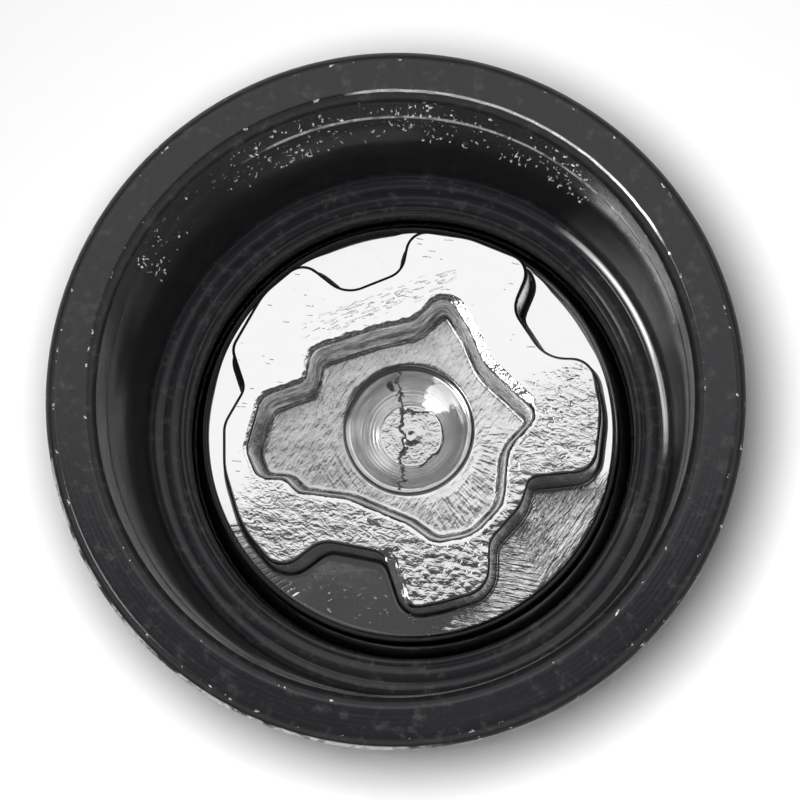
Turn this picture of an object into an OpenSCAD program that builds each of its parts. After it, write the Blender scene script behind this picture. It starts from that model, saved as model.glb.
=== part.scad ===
// Locking wheel nut with a free-spinning collar, standing on the small end of its seat.
// Z is the axis of the thread, and the key goes in from above.

/* [Collar] */
// Wall of the collar round its mouth
rim_w = 1.9; // [1.2:0.1:3]
// Width of the inner lip, from the mouth's wall to its edge
lip_w = 1.5; // [1:0.1:2.5]
// Depth of the mouth, from the rim down to the lip
mouth_depth = 13.3; // [8:0.1:20]
// Thickness of the inner lip
lip_t = 2.2; // [1.2:0.1:4]
// Length of the skirt below the lip
skirt_h = 14.25; // [9:0.25:22]
// Chamfer at the outside of the rim
rim_chamfer = 0.35; // [0.1:0.05:0.8]
// Chamfer at the inside of the rim
mouth_chamfer = 0.35; // [0.1:0.05:0.8]
// Chamfer at the outside of the skirt's lower end
skirt_chamfer = 0.6; // [0.2:0.05:1.2]
// Depth of the wider first stretch of the mouth
relief_h = 2.6; // [1:0.1:5]
// Width that the first stretch of the mouth is wider by, on the radius
relief_w = 0.06; // [0.02:0.01:0.12]
// Fillet between the mouth's wall and the lip
lip_fillet = 0.15; // [0.05:0.05:0.5]

/* [Thread and seat] */
// Nominal diameter of the thread
thread_d = 12; // [10:1:14]
// Pitch of the thread
thread_pitch = 1.5; // [1:0.25:1.75]
// Depth of the drilled hole, without its tip
drill_depth = 17.5; // [12:0.5:18]
// Included angle of the drill's tip
drill_tip_deg = 118; // [90:1:140]
// Width of the flat that the drill's web leaves at the tip
drill_web = 0.6; // [0.3:0.1:1.5]
// Countersink at the mouth of the hole
hole_chamfer = 0.9; // [0.3:0.1:1.2]
// Wall of the nose round the thread, at the small end of the seat
nose_w = 1.5; // [1.2:0.1:2.2]
// Included angle of the conical seat
seat_deg = 60; // [40:1:66]
// Height of the conical seat
seat_h = 6; // [3:0.25:8]
// Width that the flange stands out beyond the top of the seat
flange_w = 0.64; // [0.5:0.02:1.2]
// Thickness of the flange
flange_h = 2; // [1:0.25:4]
// Chamfer at both edges of the flange
flange_chamfer = 0.35; // [0.1:0.05:0.6]

/* [Head] */
// Diameter of the head that shows inside the lip
head_d = 16.8; // [14:0.1:20]
// Width of the shoulder between the head and the journal that the collar turns on
shoulder_w = 1.4; // [1:0.1:1.8]
// Chamfer at the top of the journal
journal_chamfer = 0.4; // [0.1:0.05:0.6]
// Chamfer at the edge of the head
head_chamfer = 0.25; // [0.1:0.05:0.5]
// Height of the head's floor above the lip
head_proud = 0.3; // [0:0.05:1]

/* [Key pattern] */
// Height of the lobed island above the head's floor
island_h = 3.6; // [2.5:0.1:5]
// Slope of the island's walls, as the width that they gain towards the foot
island_draft = 0.18; // [0.05:0.01:0.4]
// Least land between the island's lobes and the edge of the head
lobe_land = 0.45; // [0.45:0.05:0.8]
// Depth of the pocket in the island
pocket_depth = 2.7; // [1.5:0.1:3.4]
// Slope of the pocket's walls, as the width that they lose towards the floor
pocket_draft = 0.25; // [0.05:0.05:0.3]
// Rounding along the island's upper edges
edge_round = 0.12; // [0.05:0.01:0.15]
// Fillet round the pocket's floor
floor_fillet = 0.2; // [0.05:0.05:0.25]
// Diameter of the round dish in the pocket's floor
dish_d = 5.2; // [4:0.1:5.6]
// Depth of the dish
dish_depth = 2.1; // [1:0.1:2.4]
// Diameter of the flat at the bottom of the dish
dish_flat_d = 2.4; // [1.5:0.1:3]
// Width of the shallow groove round the dish
dish_ring_w = 0.26; // [0.1:0.02:0.4]
// Depth of the shallow groove round the dish
dish_ring_depth = 0.14; // [0.05:0.01:0.3]

/* [Retaining ring] */
// Diameter of the ring's wire
wire_d = 1.2; // [0.8:0.1:1.4]
// Opening of the split ring, in degrees
ring_split_deg = 18; // [8:1:40]
// Height of the ring's middle above the skirt's lower end
ring_up = 5; // [2:0.25:6]
// Depth of the groove in the collar
collar_groove = 0.55; // [0.3:0.05:0.7]

/* [Fits] */
// Clearance between the journal and the collar, on the radius
running_clearance = 0.1; // [0.02:0.01:0.1]
// Gap between the collar and the flange below it, and the shoulder above
end_float = 0.25; // [0.15:0.05:0.6]
// Lead-in chamfer at the lower end of the collar's bore
bore_lead = 0.3; // [0.1:0.05:0.5]
// Clearance of the ring's wire in its grooves
ring_clearance = 0.06; // [0.03:0.01:0.1]
// Gap between the head and the lip, on the radius
lip_gap = 0.7; // [0.3:0.05:1]

/* [Hidden] */
$fn = 96;

// Corners of the island, anticlockwise from the right: angle about the axis, distance in from
// the reach of the pattern, and radius of the corner
island_corners = [
    [3, 0.3, 3], [19, 0.25, 0.95], [25, 1.9, 1.4], [46.5, 1.8, 0.85],
    [51.5, -0.1, 0.8], [71, 0.2, 3], [89, 0.25, 1.3],
    [91.5, 1.95, 0.9], [115, 2.3, 1.2],
    [122, 0.3, 0.85], [137.5, 0.3, 2.5], [156.5, 0.45, 0.75],
    [167.5, 1.45, 0.6],
    [180, 0.8, 1.2], [194, 0.6, 3], [212, 0.35, 4], [230, 0.3, 0.95],
    [234.5, 2.3, 1.1], [261, 2.8, 0.8],
    [269.5, 0.65, 0.8], [281, 0.8, 2], [296.5, 0.7, 1.1],
    [305.5, 2.3, 0.9], [324, 2.4, 1.5], [336, 2.65, 0.45],
    [345.5, 0.35, 0.9]
];
// Corners of the pocket, given the same way
pocket_corners = [
    [3.5, 2.8, 0.5], [37, 4.15, 2], [56, 3.55, 1], [73, 2.6, 0.5],
    [85, 3.95, 0.8], [108, 4.1, 3], [142, 3.3, 0.6], [157, 3.75, 0.45],
    [169.5, 2.25, 0.7], [189.5, 1.7, 0.8], [199.5, 1.85, 0.5],
    [204, 2.8, 0.45], [212, 3, 0.5], [232, 4.3, 2], [271, 4.1, 0.7],
    [284, 3.2, 0.9], [301, 2.9, 1.5], [320, 3.05, 1.4], [346, 3.9, 1.2]
];
// Share of the pitch that an internal thread of this form takes off the nominal diameter
thread_share = 1.0825;
// Chords in each rounded corner, in each rounded edge and in the dish's wall
arc_steps = 4;
edge_steps = 3;
dish_steps = 6;
// Share of a side that the rounding at one of its ends may use
side_share = 0.48;
// Least radius of a corner that a sloping wall has drawn in
least_r = 0.03;
// Overlap that carries a cut or a joined solid past its face, and the small one under a broken edge
past = 0.5;
trim_past = 0.1;

pattern_reach = head_d / 2 - lobe_land;
minor_d = thread_d - thread_share * thread_pitch;
lip_bore_d = head_d + 2 * lip_gap;
mouth_d = lip_bore_d + 2 * lip_w;
collar_d = mouth_d + 2 * rim_w;
journal_d = head_d + 2 * shoulder_w;
nose_d = thread_d + 2 * nose_w;
seat_top_d = nose_d + 2 * seat_h * tan(seat_deg / 2);
flange_d = seat_top_d + 2 * flange_w;
flange_z = seat_h + flange_h;
collar_z = flange_z + end_float;
lip_z = collar_z + skirt_h;
lip_top_z = lip_z + lip_t;
rim_z = lip_top_z + mouth_depth;
shoulder_z = lip_z - end_float;
head_z = lip_top_z + head_proud;
island_z = head_z + island_h;
pocket_z = island_z - pocket_depth;
dish_z = pocket_z - dish_depth;
skirt_bore_d = journal_d + 2 * running_clearance;
ring_z = collar_z + ring_up;
ring_outer_d = skirt_bore_d + 2 * (collar_groove - ring_clearance);
groove_h = wire_d + 2 * ring_clearance;
core_groove_d = journal_d - 2 * (wire_d + ring_clearance);

function unit(v) = v / norm(v);
function right_of(v) = [v.y, -v.x];
function heading(v) = atan2(v.y, v.x);
function turn_between(a, b) = atan2(a.x * b.y - a.y * b.x, a * b);
function corner_place(c) = (pattern_reach - c[1]) * [cos(c[0]), sin(c[0])];

// One corner as an arc that touches both sides, on an outline moved outward by grow
function corner_arc(before, at, after, wanted_r, grow) =
    let (
        way_in = unit(at - before),
        way_out = unit(after - at),
        turn = turn_between(way_in, way_out),
        half_tan = tan(abs(turn) / 2),
        room = side_share * min(norm(at - before), norm(after - at)),
        trim = min(wanted_r * half_tan, room),
        r = trim / half_tan,
        side = sign(turn),
        centre = at - way_in * trim - right_of(way_in) * side * r
    )
    [for (k = [0:arc_steps])
        let (a = heading(right_of(way_in)) + turn * k / arc_steps)
        centre + side * max(r + side * grow, least_r) * [cos(a), sin(a)]];

// Closed outline through the corners, moved outward by grow
function outline(corners, grow) =
    let (n = len(corners), places = [for (c = corners) corner_place(c)])
    [for (i = [0:n - 1])
        for (p = corner_arc(places[(i + n - 1) % n], places[i], places[(i + 1) % n], corners[i][2], grow))
            p];

// Solid that follows an outline through levels, each a height and how far the outline is moved outward
module drafted(corners, levels) {
    rings = [for (level = levels) [for (p = outline(corners, level[1])) [p.x, p.y, level[0]]]];
    n = len(rings[0]);
    last = len(rings) - 1;
    polyhedron(
        points = [for (ring = rings) for (p = ring) p],
        faces = concat(
            [[for (i = [0:n - 1]) i]],
            [[for (i = [n - 1:-1:0]) last * n + i]],
            [for (j = [0:last - 1]) for (i = [0:n - 1])
                [j * n + i, (j + 1) * n + i, (j + 1) * n + (i + 1) % n, j * n + (i + 1) % n]]
        ),
        convexity = 8
    );
}

// Levels of the island: its foot inside the head, its sloping wall and its broken upper edge
island_slope = island_draft / island_h;
island_levels = [
    [head_z - past, island_slope * (island_h + past)],
    [island_z - edge_round, island_slope * edge_round],
    [island_z + trim_past, -edge_round - trim_past]
];

// Levels of the pocket: the edge of its floor, its sloping wall and the broken edge that it opens through
pocket_slope = pocket_draft / pocket_depth;
function pocket_grow(z) = pocket_slope * (z - island_z);
pocket_levels = [
    [pocket_z - trim_past, pocket_grow(pocket_z) - floor_fillet - trim_past],
    [pocket_z + floor_fillet, pocket_grow(pocket_z + floor_fillet)],
    [island_z - edge_round, pocket_grow(island_z - edge_round)],
    [island_z + past, past]
];

// Turned outside of the nut body, from the nose up to the head's floor
module turned_body() {
    rotate_extrude()
        polygon([
            [0, 0],
            [nose_d / 2, 0],
            [seat_top_d / 2, seat_h],
            [flange_d / 2 - flange_chamfer, seat_h],
            [flange_d / 2, seat_h + flange_chamfer],
            [flange_d / 2, flange_z - flange_chamfer],
            [flange_d / 2 - flange_chamfer, flange_z],
            [journal_d / 2, flange_z],
            [journal_d / 2, ring_z - groove_h / 2],
            [core_groove_d / 2, ring_z - groove_h / 2],
            [core_groove_d / 2, ring_z + groove_h / 2],
            [journal_d / 2, ring_z + groove_h / 2],
            [journal_d / 2, shoulder_z - journal_chamfer],
            [journal_d / 2 - journal_chamfer, shoulder_z],
            [head_d / 2, shoulder_z],
            [head_d / 2, head_z - head_chamfer],
            [head_d / 2 - head_chamfer, head_z],
            [0, head_z]
        ]);
}

// Blind hole at its tapping size, with a countersunk mouth and the drill's tip
module tapped_hole() {
    translate([0, 0, -past])
        cylinder(h = drill_depth + past, d = minor_d);
    translate([0, 0, -past])
        cylinder(h = hole_chamfer + past, d1 = minor_d + 2 * (hole_chamfer + past), d2 = minor_d);
    translate([0, 0, drill_depth])
        cylinder(h = (minor_d - drill_web) / 2 / tan(drill_tip_deg / 2), d1 = minor_d, d2 = drill_web);
}

// Round dish in the pocket's floor: a ring groove, a dished wall and a small flat
module dish() {
    wall_w = (dish_d - dish_flat_d) / 2 - dish_ring_w;
    wall_h = dish_depth - dish_ring_depth;
    rotate_extrude()
        polygon(concat(
            [[0, dish_z]],
            [for (k = [0:dish_steps])
                let (a = 90 * k / dish_steps)
                [dish_flat_d / 2 + wall_w * sin(a), dish_z + wall_h * (1 - cos(a))]],
            [
                [dish_d / 2, pocket_z - dish_ring_depth],
                [dish_d / 2, pocket_z + past],
                [0, pocket_z + past]
            ]
        ));
}

// Lobed island, flat on top
module island() {
    intersection() {
        drafted(island_corners, island_levels);
        translate([0, 0, head_z - 2 * past])
            cylinder(h = island_h + 2 * past, d = head_d + 2 * past);
    }
}

// Pocket in the island, flat at the bottom
module pocket() {
    intersection() {
        drafted(pocket_corners, pocket_levels);
        translate([0, 0, pocket_z])
            cylinder(h = pocket_depth + 2 * past, d = head_d + 2 * past);
    }
}

module nut_body() {
    color("silver")
        difference() {
            union() {
                turned_body();
                island();
            }
            pocket();
            dish();
            tapped_hole();
        }
}

module spinning_collar() {
    fillet_z = lip_top_z + lip_fillet;
    fillet_r = mouth_d / 2 - lip_fillet;
    color([0.12, 0.12, 0.13])
        rotate_extrude()
            polygon(concat(
                [
                    [skirt_bore_d / 2 + bore_lead, collar_z],
                    [collar_d / 2 - skirt_chamfer, collar_z],
                    [collar_d / 2, collar_z + skirt_chamfer],
                    [collar_d / 2, rim_z - rim_chamfer],
                    [collar_d / 2 - rim_chamfer, rim_z],
                    [mouth_d / 2 + relief_w + mouth_chamfer, rim_z],
                    [mouth_d / 2 + relief_w, rim_z - mouth_chamfer],
                    [mouth_d / 2 + relief_w, rim_z - relief_h],
                    [mouth_d / 2, rim_z - relief_h - relief_w]
                ],
                [for (k = [0:edge_steps])
                    let (a = 90 * k / edge_steps)
                    [fillet_r + lip_fillet * cos(a), fillet_z - lip_fillet * sin(a)]],
                [
                    [lip_bore_d / 2, lip_top_z],
                    [lip_bore_d / 2, lip_z],
                    [skirt_bore_d / 2, lip_z],
                    [skirt_bore_d / 2, ring_z + groove_h / 2],
                    [skirt_bore_d / 2 + collar_groove, ring_z + groove_h / 2],
                    [skirt_bore_d / 2 + collar_groove, ring_z - groove_h / 2],
                    [skirt_bore_d / 2, ring_z - groove_h / 2],
                    [skirt_bore_d / 2, collar_z + bore_lead]
                ]
            ));
}

module retaining_ring() {
    color("gray")
        translate([0, 0, ring_z])
            rotate([0, 0, ring_split_deg / 2])
                rotate_extrude(angle = 360 - ring_split_deg)
                    translate([ring_outer_d / 2 - wire_d / 2, 0])
                        circle(d = wire_d);
}

nut_body();
spinning_collar();
retaining_ring();
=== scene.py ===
"""Looks of the locking wheel nut: its key pattern, thread, black spinning collar and wear."""

import bmesh
import bpy
import numpy as np
from bpy.props import FloatProperty, FloatVectorProperty, IntProperty, PointerProperty
from mathutils import Matrix, Vector, noise


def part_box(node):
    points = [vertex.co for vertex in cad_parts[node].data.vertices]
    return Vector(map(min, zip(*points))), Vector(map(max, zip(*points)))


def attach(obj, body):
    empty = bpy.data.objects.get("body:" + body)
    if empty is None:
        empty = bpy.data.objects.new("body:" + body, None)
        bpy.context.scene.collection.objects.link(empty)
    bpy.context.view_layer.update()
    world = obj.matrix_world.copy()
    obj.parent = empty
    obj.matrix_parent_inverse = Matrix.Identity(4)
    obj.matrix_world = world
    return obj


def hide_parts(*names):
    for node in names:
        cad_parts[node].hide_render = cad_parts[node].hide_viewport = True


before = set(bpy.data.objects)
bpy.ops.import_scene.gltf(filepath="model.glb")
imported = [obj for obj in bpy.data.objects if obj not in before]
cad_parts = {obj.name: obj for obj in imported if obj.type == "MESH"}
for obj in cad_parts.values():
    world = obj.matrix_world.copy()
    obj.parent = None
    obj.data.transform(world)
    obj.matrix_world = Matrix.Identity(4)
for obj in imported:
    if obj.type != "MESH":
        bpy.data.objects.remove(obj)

bl_info = {
    "name": "Locking wheel nut",
    "version": (1, 0, 0),
    "blender": (4, 5, 0),
    "location": "View3D > Sidebar > Wheel nut",
    "description": "Key pattern, thread, spinning collar and wear of a locking wheel nut",
    "category": "Object",
}

MM = 0.001
WIRE_SHARE = 0.995  # of the ring's wire, so that it stays within its box
LATHE_CORE = 1e-5  # radius of the circle that sections are swept round
SOFT_EDGE = 50  # faces that meet at less than this angle, in degrees, are shaded as one
NUT, COLLAR = "nut", "collar"
DISH, POCKET, ISLAND, PLAIN = range(4)  # zones of the nut's steel, by material number
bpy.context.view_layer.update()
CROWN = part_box("nut_body")[1]
SKIRT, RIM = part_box("spinning_collar")
RING_LOW, RING_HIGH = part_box("retaining_ring")
ISLAND_Z = CROWN.z / MM
RIM_Z = RIM.z / MM
SKIRT_Z = SKIRT.z / MM
COLLAR_R = RIM.x / MM
RING_Z = (RING_LOW.z + RING_HIGH.z) / 2 / MM
RING_R = RING_HIGH.y / MM
WIRE_R = (RING_HIGH.z - RING_LOW.z) / 2 / MM

# Corners of the island and the pocket, anticlockwise from the right: angle about the axis in degrees,
# distance from it and radius of the corner in millimetres
ISLAND_CORNERS = (
    (3, 7.65, 3), (19, 7.7, 0.95), (25, 6.05, 1.4), (46.5, 6.15, 0.85), (51.5, 8.05, 0.8),
    (71, 7.75, 3), (89, 7.7, 1.3), (91.5, 6.0, 0.9), (115, 5.65, 1.2), (122, 7.65, 0.85),
    (137.5, 7.65, 2.5), (156.5, 7.5, 0.75), (167.5, 6.5, 0.6), (180, 7.15, 1.2), (194, 7.35, 3),
    (212, 7.6, 4), (230, 7.65, 0.95), (234.5, 5.65, 1.1), (261, 5.15, 0.8), (269.5, 7.3, 0.8),
    (281, 7.15, 2), (296.5, 7.25, 1.1), (305.5, 5.65, 0.9), (324, 5.55, 1.5), (336, 5.3, 0.45),
    (345.5, 7.6, 0.9),
)
POCKET_CORNERS = (
    (3.5, 5.15, 0.5), (37, 3.8, 2), (56, 4.4, 1), (73, 5.35, 0.5), (85, 4.0, 0.8), (108, 3.85, 3),
    (142, 4.65, 0.6), (157, 4.2, 0.45), (169.5, 5.7, 0.7), (189.5, 6.25, 0.8), (199.5, 6.1, 0.5),
    (204, 5.15, 0.45), (212, 4.95, 0.5), (232, 3.65, 2), (271, 3.85, 0.7), (284, 4.75, 0.9),
    (301, 5.05, 1.5), (320, 4.9, 1.4), (346, 4.05, 1.2),
)
# Bevels that wear has cut into an upper edge: direction of the middle, half width and fade in degrees, and
# fall over width
POCKET_BEVEL = (38, 26, 8, 0.42)
LOBE_BEVEL = (-94, 4, 2.5, 0.24)
# Marks in the dish, and the middle of the painted highlight at its upper right, in millimetres from the axis
CRACK_X = -0.38
BRANCH_Y = 0.95
CHIP_AT = (-0.78, 1.85)
PAINTED_GLARE_AT = (1.33, 1.45)


class NutSizes(bpy.types.PropertyGroup):
    """Sizes of the nut body, in millimetres like its drawing."""

    island_h: FloatProperty(name="Island height", description="Height of the lobed island", default=3.6)
    island_draft: FloatProperty(name="Island draft", description="Width its walls gain", default=0.18)
    pocket_depth: FloatProperty(name="Pocket depth", description="Depth of the pocket", default=2.7)
    pocket_draft: FloatProperty(name="Pocket draft", description="Width its walls lose", default=0.25)
    edge_round: FloatProperty(name="Edge rounding", description="Rounding of upper edges", default=0.13)
    pocket_round: FloatProperty(name="Pocket rounding", description="Rounding of its edge", default=0.24)
    ragged: FloatProperty(name="Ragged edge", description="Unevenness of the pocket's edge", default=0.09)
    bevel: FloatProperty(name="Worn bevel", description="Width of the bevels that wear has left", default=0.4)
    wrinkle: FloatProperty(name="Wrinkles", description="Depth of those on the island's top", default=0.014)
    floor_fillet: FloatProperty(name="Floor fillet", description="Fillet of the floors", default=0.18)
    dish_r: FloatProperty(name="Dish radius", description="Radius of the round dish", default=2.6)
    dish_ring: FloatProperty(name="Dish ring", description="Width of the ring round it", default=0.26)
    ring_depth: FloatProperty(name="Ring depth", description="Depth of that ring", default=0.14)
    dish_depth: FloatProperty(name="Dish depth", description="Depth of the dish", default=2.1)
    dish_flat_r: FloatProperty(name="Dish flat", description="Radius of the dish's flat", default=1.2)
    pip_h: FloatProperty(name="Pip height", description="Height of the ridge round its middle", default=0.05)
    head_r: FloatProperty(name="Head radius", description="Radius of the patterned head", default=8.4)
    head_chamfer: FloatProperty(name="Head chamfer", description="Chamfer of its edge", default=0.25)
    shoulder_z: FloatProperty(name="Shoulder height", description="Top of the journal", default=22.25)
    journal_r: FloatProperty(name="Journal radius", description="Where the collar runs", default=9.8)
    journal_chamfer: FloatProperty(name="Journal chamfer", description="At its top", default=0.4)
    groove_r: FloatProperty(name="Groove radius", description="Bottom of the ring groove", default=8.54)
    groove_h: FloatProperty(name="Groove height", description="Height of the ring groove", default=1.32)
    ring_opening: FloatProperty(name="Ring opening", description="Gap of the split ring, as an angle",
                                default=np.radians(18), subtype="ANGLE")
    flange_z: FloatProperty(name="Flange top", description="Height of the flange's top", default=8.0)
    flange_chamfer: FloatProperty(name="Flange chamfer", description="At both its edges", default=0.35)
    seat_z: FloatProperty(name="Seat top", description="Height of the conical seat", default=6.0)
    seat_r: FloatProperty(name="Seat radius", description="Large radius of the seat", default=10.964)
    nose_r: FloatProperty(name="Nose radius", description="Small radius of the seat", default=7.5)
    thread_r: FloatProperty(name="Thread radius", description="Major radius of the thread", default=6.0)
    minor_r: FloatProperty(name="Minor radius", description="Minor radius of the thread", default=5.19)
    pitch: FloatProperty(name="Thread pitch", description="Rise of each turn", default=1.5)
    thread_foot: FloatProperty(name="Thread foot", description="Height of its first ridge", default=0.85)
    thread_runout: FloatProperty(name="Thread runout", description="Height that it leaves free", default=2.6)
    drill_z: FloatProperty(name="Drill depth", description="Depth of the drilled hole", default=17.5)
    drill_tip: FloatProperty(name="Drill tip", description="Depth of the cone at its end", default=2.9)
    rays: IntProperty(name="Rays", description="Points round the key pattern", default=540)


class CollarSizes(bpy.types.PropertyGroup):
    """Sizes of the spinning collar, in millimetres."""

    mouth_r: FloatProperty(name="Mouth radius", description="Radius of the mouth", default=10.6)
    mouth_depth: FloatProperty(name="Mouth depth", description="Rim down to the lip", default=13.3)
    lip_r: FloatProperty(name="Lip radius", description="Radius of the lip's bore", default=9.1)
    lip_t: FloatProperty(name="Lip thickness", description="Thickness of the lip", default=2.2)
    bore_r: FloatProperty(name="Bore radius", description="Radius that runs on the nut", default=9.9)
    groove_w: FloatProperty(name="Groove depth", description="Depth of the ring groove", default=0.55)
    groove_h: FloatProperty(name="Groove height", description="Height of the ring groove", default=1.32)
    rim_chamfer: FloatProperty(name="Rim chamfer", description="Chamfers of the rim", default=0.35)
    relief_h: FloatProperty(name="Relief depth", description="Wider first stretch", default=2.6)
    relief_w: FloatProperty(name="Relief width", description="How much wider it is", default=0.06)
    shelf_fillet: FloatProperty(name="Shelf fillet", description="Corner of wall and lip", default=0.5)
    skirt_chamfer: FloatProperty(name="Skirt chamfer", description="Lower outer edge", default=0.6)
    shelf_grooves: FloatVectorProperty(name="Turning grooves", description="Their radii on the lip's face",
                                       size=2, default=(10.03, 9.4))
    shelf_groove_w: FloatProperty(name="Turning groove width", description="Of each of them", default=0.1)
    shelf_groove_d: FloatProperty(name="Turning groove depth", description="Of each of them", default=0.03)
    segments: IntProperty(name="Segments", description="Steps round the collar", default=384)


class Flakes(bpy.types.PropertyGroup):
    """Metal flakes on the upper wall of the mouth."""

    density: FloatProperty(name="Density", description="Flakes to the square metre", default=1.1e7)
    size: FloatProperty(name="Size", description="Radius of a flake before it is stretched", default=0.00006,
                        unit="LENGTH", precision=6)
    seed: IntProperty(name="Seed", description="Of their places, kinds and turns", default=11)
    sector: FloatVectorProperty(name="Sector", description="Directions between which they lie", size=2,
                                default=(np.radians(48), np.radians(152)), unit="ROTATION")
    depths: FloatVectorProperty(name="Depths", description="Millimetres below the rim that they lie between",
                                size=2, default=(0.6, 6.5))
    lift: FloatProperty(name="Lift", description="Millimetres that they stand off the wall", default=0.012)


class Finishes(bpy.types.PropertyGroup):
    """Colours and roughness of the finishes."""

    steel: FloatVectorProperty(name="Plated steel", description="Colour of the bright plated steel",
                               default=(0.86, 0.86, 0.86), subtype="COLOR")
    coating: FloatVectorProperty(name="Black coating", description="Colour of the collar's coating",
                                 default=(0.007, 0.007, 0.008), subtype="COLOR")
    spring: FloatVectorProperty(name="Spring steel", description="Colour of the retaining ring",
                                default=(0.35, 0.35, 0.36), subtype="COLOR")
    steel_rough: FloatProperty(name="Steel roughness", description="Of the smooth plated faces",
                               default=0.07, subtype="FACTOR")
    coating_rough: FloatProperty(name="Coating roughness", description="Of the black coating",
                                 default=0.20, subtype="FACTOR")
    coating_gloss: FloatProperty(name="Coating gloss", description="Strength of its sheen",
                                 default=0.45, subtype="FACTOR")


class StageSettings(bpy.types.PropertyGroup):
    """Camera, floor and light."""

    eye: FloatVectorProperty(name="Camera", description="Camera's place from the rim's centre",
                             default=(0.00483, -0.01118, 0.095), unit="LENGTH", precision=5)
    aim: FloatVectorProperty(name="Aim", description="Point in the rim's plane that it looks at",
                             default=(0.00024, -0.00019, 0.0), unit="LENGTH", precision=5)
    lens: FloatProperty(name="Lens", description="Focal length in millimetres", default=121.5)
    floor_size: FloatProperty(name="Floor", description="Size of the floor", default=4.0, unit="LENGTH")
    floor_glow: FloatProperty(name="Floor glow", description="Light that keeps it pale", default=0.05)
    panel_glow: FloatProperty(name="Panel", description="Radiance of the large soft light", default=1.0)
    panel_size: FloatVectorProperty(name="Panel size", description="Its width and depth", size=2,
                                    default=(0.34, 0.22), unit="LENGTH")
    panel_place: FloatVectorProperty(name="Panel place", description="Its middle, counted up from the camera",
                                     default=(-0.02, 0.113, 0.003), unit="LENGTH", precision=4)
    lamp_glow: FloatProperty(name="Lamp", description="Radiance of the small light at the left", default=8.5)
    lamp_size: FloatProperty(name="Lamp size", description="Its width", default=0.09, unit="LENGTH")
    lamp_turn: FloatProperty(name="Lamp direction", description="Direction that it hangs in, seen from above",
                             default=np.radians(200), subtype="ANGLE")
    lamp_rise: FloatProperty(name="Lamp rise", description="Its angle above the floor",
                             default=np.radians(50), subtype="ANGLE")
    lamp_away: FloatProperty(name="Lamp distance", description="From its target", default=0.3, unit="LENGTH")
    lamp_aim: FloatProperty(name="Lamp target", description="Height on the axis that it looks at",
                            default=0.025, unit="LENGTH")
    sky: FloatVectorProperty(name="Sky", description="Brightness near the horizon and overhead", size=2,
                             default=(0.75, 0.07))
    key_power: FloatProperty(name="Key", description="Power of the light by the camera", default=0.19)
    key_size: FloatProperty(name="Key size", description="Its width", default=0.009, unit="LENGTH")
    key_share: FloatProperty(name="Key nearness", description="Its share of the camera's offset", default=0.9)
    key_shift: FloatVectorProperty(name="Key shift", description="Sideways, off the camera's line", size=2,
                                   default=(-0.002, 0.002), unit="LENGTH", precision=4)


def outline(corners, grow, chords=8):
    """Closed outline with rounded corners, moved outward by grow, as an array of points in millimetres."""
    places = [reach * np.array((np.cos(np.radians(a)), np.sin(np.radians(a)))) for a, reach, _ in corners]
    points = []
    for i, (_, _, radius) in enumerate(corners):
        before, at, after = places[i - 1], places[i], places[(i + 1) % len(places)]
        way_in = (at - before) / np.linalg.norm(at - before)
        way_out = (after - at) / np.linalg.norm(after - at)
        turn = np.arctan2(way_in[0] * way_out[1] - way_in[1] * way_out[0], way_in @ way_out)
        half_tan = np.tan(abs(turn) / 2)
        room = 0.48 * min(np.linalg.norm(at - before), np.linalg.norm(after - at))
        trim = min(radius * half_tan, room)
        r, side = trim / half_tan, np.sign(turn)
        right = np.array((way_in[1], -way_in[0]))
        centre = at - way_in * trim - right * side * r
        for k in range(chords + 1):
            a = np.arctan2(right[1], right[0]) + turn * k / chords
            points.append(centre + side * max(r + side * grow, 0.03) * np.array((np.cos(a), np.sin(a))))
    return np.array(points)


def reach_at(corners, grow, angles):
    """Distance of the outline from the axis along each ray."""
    points = outline(corners, grow)
    along = np.arctan2(points[:, 1], points[:, 0])
    first = int(np.argmin(along))
    points, along = np.roll(points, -first, 0), np.unwrap(np.roll(along, -first))
    closed = np.vstack((points, points[:1]))
    fine = np.linspace(0, 1, 12, endpoint=False)[:, None]
    dense = np.vstack([a + (b - a) * fine for a, b in zip(closed, closed[1:])])
    theta = np.unwrap(np.arctan2(dense[:, 1], dense[:, 0]))
    order = np.argsort(theta)
    return np.interp(angles, theta[order], np.hypot(*dense.T)[order], period=2 * np.pi)


def ray_angles(count):
    """Angles of the rays, closer together where an outline runs nearly along them."""
    even = np.linspace(-np.pi, np.pi, 7201)
    density = np.full(len(even), 6.0)
    for corners in (ISLAND_CORNERS, POCKET_CORNERS):
        reach = reach_at(corners, 0.0, even)
        slope = np.gradient(reach, even)
        density += np.hypot(reach, slope)
    total = np.concatenate(((0,), np.cumsum((density[1:] + density[:-1]) / 2)))
    return np.interp(np.arange(count) / count * total[-1], total, even)


def stacked_mesh(name, rings, parts, first_pole, last_pole):
    """Mesh of rings of equal count joined one to the next, its ends closed by points on the axis.

    Each strip takes the material whose number parts gives for its outer ring.
    """
    count = len(rings[0])
    points = [p for ring in rings for p in ring]
    faces = []
    for j in range(len(rings) - 1):
        for i in range(count):
            k = (i + 1) % count
            faces.append((j * count + i, j * count + k, (j + 1) * count + k, (j + 1) * count + i))
    points += [first_pole, last_pole]
    base = (len(rings) - 1) * count
    faces += [(len(points) - 2, (i + 1) % count, i) for i in range(count)]
    faces += [(len(points) - 1, base + i, base + (i + 1) % count) for i in range(count)]
    mesh = bpy.data.meshes.new(name)
    mesh.from_pydata([tuple(v * MM for v in p) for p in points], [], faces)
    numbers = np.repeat(list(parts[1:]) + [parts[0], parts[-1]], count)
    mesh.polygons.foreach_set("material_index", numbers.astype(np.int32))
    tidy_normals(mesh, SOFT_EDGE)
    return mesh


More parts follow.
